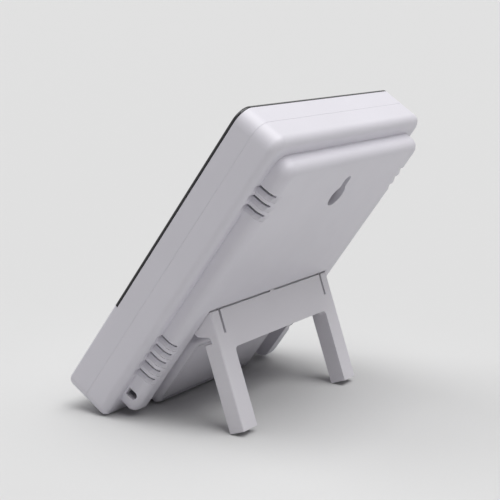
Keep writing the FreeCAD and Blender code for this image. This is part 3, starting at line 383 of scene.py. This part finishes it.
def finish_piece(target, name, material, body):
    """Lean a shape drawn upright in millimetres, and make it an object on a body."""
    bmesh.ops.transform(target, matrix=upright @ Matrix.Scale(MM, 4), verts=target.verts[:])
    mesh = bpy.data.meshes.new(name)
    target.to_mesh(mesh)
    target.free()
    mesh.materials.append(material)
    piece = bpy.data.objects.new(name, mesh)
    bpy.context.scene.collection.objects.link(piece)
    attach(piece, body)
    print(name, len(mesh.polygons), "faces")


# %% [markdown]
# ## What the display reads
# A large temperature with a smaller tenth, a ring for degrees, and a humidity with a
# percent sign. The dark crystal is not pure black: some of the reflector's light comes
# through, so the material stays a deep grey with a soft variation. Places are upright
# millimetres, and a digit's size is its width, its height and its bars' thickness.

# %% Dark crystal
def ink_material():
    colour = (0.022, 0.024, 0.022)
    material, tree, shader = new_material("dark_crystal", colour, roughness=0.4)
    where = object_coordinates(tree)
    tone = two_shades(tree, noise(tree, where, scale=400.0), colour, low=0.8, high=1.5)
    tree.links.new(tone, shader.inputs["Base Color"])
    return material


dark_crystal = ink_material()

# %% Display reading
LARGE_DIGIT, MIDDLE_DIGIT, SMALL_DIGIT = (14, 25, 3.0), (11, 19, 2.4), (9.5, 17, 2.1)
DEGREES_LOW, HUMIDITY_LOW = 70, 46.5
DIVIDER_PLACE, DIVIDER_SIZE = (0.0, 66.3), (66.0, 0.5)
POINT_PLACE, POINT_RADIUS = (3.6, 71.4), 1.2


def add_number(target, text, left, bottom, pitch, size):
    """Digits side by side, a pitch apart."""
    for index, character in enumerate(text):
        add_digit(target, character, left + index * pitch, bottom, *size)


def add_celsius(target):
    """A ring for degrees, and a C of three bars."""
    back, middle, half_height, thick = 27.2, 87.5, 4.7, 1.2
    add_disc(target, centre=(23.2, 90.9), radius=2.0, hole=1.1)
    for z in (middle + half_height, middle - half_height):
        add_bar(target, centre=(29.9, z), length=4.6, thick=thick)
    add_bar(target, centre=(back, middle), length=8.0, thick=thick, turn=90)


def add_percent(target):
    """Two rings with a slanted bar between them."""
    for place in ((25.6, 62.6), (31.4, 56.4)):
        add_disc(target, place, radius=1.6, hole=0.8)
    add_bar(target, centre=(28.5, 59.5), length=8.2, thick=1.0, turn=50)


def display_reading():
    film = bmesh.new()
    add_number(film, "23", left=-33, bottom=DEGREES_LOW, pitch=17.5, size=LARGE_DIGIT)
    add_disc(film, POINT_PLACE, POINT_RADIUS)
    add_digit(film, "5", 6.5, DEGREES_LOW, *SMALL_DIGIT)
    add_celsius(film)
    add_bar(film, DIVIDER_PLACE, *DIVIDER_SIZE)
    add_number(film, "48", left=-3, bottom=HUMIDITY_LOW, pitch=13.5, size=MIDDLE_DIGIT)
    add_percent(film)
    finish_piece(film, "display_digits", dark_crystal, "case")


display_reading()

# %% [markdown]
# ## Inside: circuit board
# The inner pieces are hidden in the picture, but the model can be opened, so each gets
# the finish it has in real life. Solder mask is a green lacquer over copper: where
# tracks run below, it looks lighter. A brick pattern, thinned to lines, reads as tracks.

# %% Circuit board
def board_material():
    green, over_copper = (0.02, 0.14, 0.06), (0.06, 0.3, 0.12)
    material, tree, shader = new_material("solder_mask", green, roughness=0.32, Coat_Weight=0.2)
    where = object_coordinates(tree, turn=(LEAN + math.radians(90), 0, 0))
    tracks = tree.nodes.new("ShaderNodeTexBrick")
    tracks.inputs["Scale"].default_value = 90.0
    tracks.inputs["Mortar Size"].default_value = 0.03
    tracks.inputs["Color1"].default_value = (*green, 1)
    tracks.inputs["Color2"].default_value = (*tinted(green, 1.2), 1)
    tracks.inputs["Mortar"].default_value = (*over_copper, 1)
    tree.links.new(where, tracks.inputs["Vector"])
    tree.links.new(tracks.outputs["Color"], shader.inputs["Base Color"])
    bump(tree, shader, tracks.outputs["Fac"], distance=0.00003, strength=0.3)
    return material


paint(board_material(), "main_pcb")

# %% [markdown]
# ## Inside: parts, metals and wires
# Most small parts need one colour, a little mottling and the right gloss, so one
# function makes them all. The metals have a second one, whose noise is stretched along
# X into the fine lines of brushing.

# %% Parts, metals and wires
MOTTLE_HEIGHT = 0.00001


def mottled(name, colour, roughness, scale=300.0, contrast=0.12, **sockets):
    material, tree, shader = new_material(name, colour, roughness, **sockets)
    where = object_coordinates(tree)
    grain = noise(tree, where, scale, detail=3.0)
    shade = two_shades(tree, grain, colour, 1 - contrast, 1 + contrast, stops=CLOSE_STOPS)
    tree.links.new(shade, shader.inputs["Base Color"])
    tree.links.new(remap(tree, noise(tree, where, scale * 2), roughness * 0.85, roughness * 1.15),
                   shader.inputs["Roughness"])
    bump(tree, shader, noise(tree, where, scale * 6), distance=MOTTLE_HEIGHT, strength=0.5)
    return material


def brushed(name, colour, roughness):
    """Metal with fine lines drawn along X."""
    material, tree, shader = new_material(name, colour, roughness, Metallic=1.0)
    lines = noise(tree, object_coordinates(tree, scale=(0.04, 1, 1)), scale=5000.0)
    tone = two_shades(tree, lines, colour, low=0.88, high=1.06)
    tree.links.new(tone, shader.inputs["Base Color"])
    tree.links.new(remap(tree, lines, roughness * 0.8, roughness * 1.25), shader.inputs["Roughness"])
    bump(tree, shader, lines, distance=0.000004, strength=0.5)
    return material


paint(mottled("chip_epoxy", (0.025, 0.025, 0.027), 0.55), "controller_chip", "key_switches")
paint(brushed("crystal_can", (0.72, 0.72, 0.7), 0.25), "watch_crystal")
paint(mottled("chip_ceramic", (0.3, 0.2, 0.13), 0.5, scale=900.0, contrast=0.2), "chip_parts")
paint(mottled("sensor_housing", (0.72, 0.74, 0.76), 0.5), "humidity_sensor")
paint(mottled("bead_epoxy", (0.03, 0.03, 0.035), 0.15, contrast=0.2, Coat_Weight=0.5), "thermistor")
paint(brushed("spring_steel", (0.74, 0.72, 0.66), 0.28),
      "negative_contact", "positive_contact", "bridge_contact")
paint(mottled("red_wire", (0.5, 0.03, 0.02), 0.4, contrast=0.08), "red_lead")
paint(mottled("black_wire", (0.02, 0.02, 0.02), 0.4, contrast=0.2), "black_lead")
paint(brushed("screw_zinc", (0.66, 0.67, 0.69), 0.3), "case_screws", "pcb_screws")
paint(mottled("tape_foam", (0.03, 0.03, 0.03), 0.85, scale=1200.0, contrast=0.3), "lens_tape")
paint(brushed("reflector_foil", (0.78, 0.8, 0.78), 0.35), "lcd_reflector")
paint(mottled("frame_plastic", (0.72, 0.72, 0.68), 0.5, contrast=0.03), "lcd_frame")
paint(mottled("strip_rubber", (0.62, 0.3, 0.34), 0.7, scale=2500.0, contrast=0.25), "zebra_connector")

# %% [markdown]
# ## Inside: cells
# A dry cell is a steel can in a printed sleeve. Both cells lie along X, so the X
# coordinate alone says what is sleeve and what is bare steel at the ends. The sleeve
# stays plain, with one lighter band next to the plus end.

# %% Cells
CELL_HALF = 22.25
CONTACT_SHIFT = 1.85
PLUS_CAP, MINUS_RIM, BAND_REACH = 1.3, 0.5, 9.0
SLEEVE_BLUE, BAND_GREY, BARE_STEEL = (0.05, 0.09, 0.17), (0.42, 0.43, 0.45), (0.7, 0.7, 0.7)


def cell_material(name, plus):
    """Sleeve and bare ends of a cell whose plus end points to +X (1) or to -X (-1)."""
    material, tree, shader = new_material(name, SLEEVE_BLUE, roughness=0.25, Coat_Weight=0.4)
    split = tree.nodes.new("ShaderNodeSeparateXYZ")
    tree.links.new(object_coordinates(tree), split.inputs["Vector"])
    along = math_node(tree, "MULTIPLY", split.outputs["X"], plus / MM)
    plus_end, minus_end = CONTACT_SHIFT + CELL_HALF, CONTACT_SHIFT - CELL_HALF
    bare_plus = math_node(tree, "GREATER_THAN", along, plus_end - PLUS_CAP)
    bare_minus = math_node(tree, "LESS_THAN", along, minus_end + MINUS_RIM)
    bare = math_node(tree, "ADD", bare_plus, bare_minus)
    band = math_node(tree, "GREATER_THAN", along, plus_end - BAND_REACH)
    sleeve = mix_colours(tree, band, SLEEVE_BLUE, BAND_GREY)
    tree.links.new(mix_colours(tree, bare, sleeve, BARE_STEEL), shader.inputs["Base Color"])
    tree.links.new(bare, shader.inputs["Metallic"])
    return material


paint(cell_material("cell_sleeve_upper", 1), "battery_upper")
paint(cell_material("cell_sleeve_lower", -1), "battery_lower")

# %% [markdown]
# ## Floor
# The picture has a seamless pale sweep with a soft shadow. A very large floor takes the
# shadow. Paper has a faint fibre pattern and hardly any gloss. The floor stays a little
# below white, because the photograph's background does too.

# %% Floor
FLOOR_TONE = (0.635, 0.635, 0.635)
FLOOR_RADIUS = 12.0


def make_floor():
    disc = bmesh.new()
    bmesh.ops.create_circle(disc, cap_ends=True, segments=96, radius=FLOOR_RADIUS)
    mesh = bpy.data.meshes.new("floor")
    disc.to_mesh(mesh)
    disc.free()
    floor = bpy.data.objects.new("floor", mesh)
    bpy.context.scene.collection.objects.link(floor)
    material, tree, shader = new_material("paper_sweep", FLOOR_TONE, roughness=0.9,
                                          Specular_IOR_Level=0.2)
    where = object_coordinates(tree)
    fibres = noise(tree, where, scale=900.0, detail=3.0)
    tone = two_shades(tree, fibres, FLOOR_TONE, low=0.995, high=1.005)
    tree.links.new(tone, shader.inputs["Base Color"])
    mesh.materials.append(material)
    print("floor", len(mesh.polygons), "face")


make_floor()

# %% [markdown]
# ## Light
# A studio tent gives light from very wide sources. A sun lamp with a wide angle does the
# same here: it lights the whole floor evenly, without a bright patch, and its shadows
# are as soft as a large window's. The main one is overhead, because the top edge is the
# brightest part of the picture. A weaker one from the display side throws the shadow to
# the right. Rendering lamps from many sides one by one, and weighing them against pale,
# mid and dark places of the picture, gave the first directions and strengths. They were
# then adjusted.

# %% Lamps
def wide_lamp(name, source, strength, width):
    """A sun lamp that shines from a direction, as wide as a large soft window."""
    data = bpy.data.lights.new(name, "SUN")
    data.energy = strength
    data.angle = math.radians(width)
    lamp = bpy.data.objects.new(name, data)
    lamp.rotation_euler = (-Vector(source)).to_track_quat("-Z", "Y").to_euler()
    bpy.context.scene.collection.objects.link(lamp)
    print(name, "from", source, "strength", strength)


wide_lamp("overhead_light", (0.0, 0.24, 0.97), 2.75, 58)
wide_lamp("display_side_light", (0.2, -0.5, 0.84), 0.9, 40)

# %% [markdown]
# ## World
# The world plays two parts. For the camera, for mirror reflections and for light that
# comes through the lens it is the pale backdrop. Its tone is close to the floor's
# rendered one, so no horizon shows. For everything else it is a weak fill that opens the
# deepest shade. Light Path tells the kinds of ray apart.

# %% World
BACKDROP = 0.74
WORLD_FILL = 0.07


def make_world():
    world = bpy.data.worlds.new("studio")
    bpy.context.scene.world = world
    world.use_nodes = True
    tree = world.node_tree
    background = tree.nodes["Background"]
    background.inputs["Color"].default_value = (1, 1, 1, 1)
    path = tree.nodes.new("ShaderNodeLightPath")
    seen = math_node(tree, "MAXIMUM", path.outputs["Is Camera Ray"], path.outputs["Is Glossy Ray"])
    seen = math_node(tree, "MAXIMUM", seen, path.outputs["Is Transmission Ray"])
    strength = math_node(tree, "MULTIPLY", seen, BACKDROP - WORLD_FILL)
    strength = math_node(tree, "ADD", strength, WORLD_FILL)
    tree.links.new(strength, background.inputs["Strength"])
    print("backdrop", BACKDROP, "fill", WORLD_FILL)


make_world()

# %% [markdown]
# ## Camera
# The photograph looks at the back from a little above, from the side with the outlet.
# The camera was placed by matching the case's edges: its distance, turn, tilt and
# roll, and a lens of about 102 mm on a 36 mm sensor.

# %% Camera
CAMERA_PLACE = (0.39060, 0.21708, 0.14119)
YAW, PITCH, ROLL = math.radians(60.7636), math.radians(11.7227), math.radians(3.5612)
SENSOR_WIDTH = 36.0
IMAGE_WIDTH_PIXELS = 500.0
FOCAL_PIXELS = 1414.94
FOCAL = FOCAL_PIXELS * SENSOR_WIDTH / IMAGE_WIDTH_PIXELS


def make_camera():
    level = math.cos(PITCH)
    forward = Vector((-math.sin(YAW) * level, -math.cos(YAW) * level, -math.sin(PITCH)))
    right = forward.cross(Vector((0, 0, 1))).normalized()
    up = right.cross(forward)
    right_rolled = right * math.cos(ROLL) + up * math.sin(ROLL)
    up_rolled = up * math.cos(ROLL) - right * math.sin(ROLL)
    turn = Matrix((right_rolled, up_rolled, -forward)).transposed()
    data = bpy.data.cameras.new("camera")
    data.lens = FOCAL
    data.sensor_width = SENSOR_WIDTH
    data.clip_start = 0.01
    data.clip_end = 20.0
    camera = bpy.data.objects.new("camera", data)
    camera.matrix_world = Matrix.Translation(CAMERA_PLACE) @ turn.to_4x4()
    bpy.context.scene.collection.objects.link(camera)
    bpy.context.scene.camera = camera
    print("camera at", CAMERA_PLACE, "lens", round(FOCAL, 2))


make_camera()
bpy.context.scene.view_settings.view_transform = "Standard"
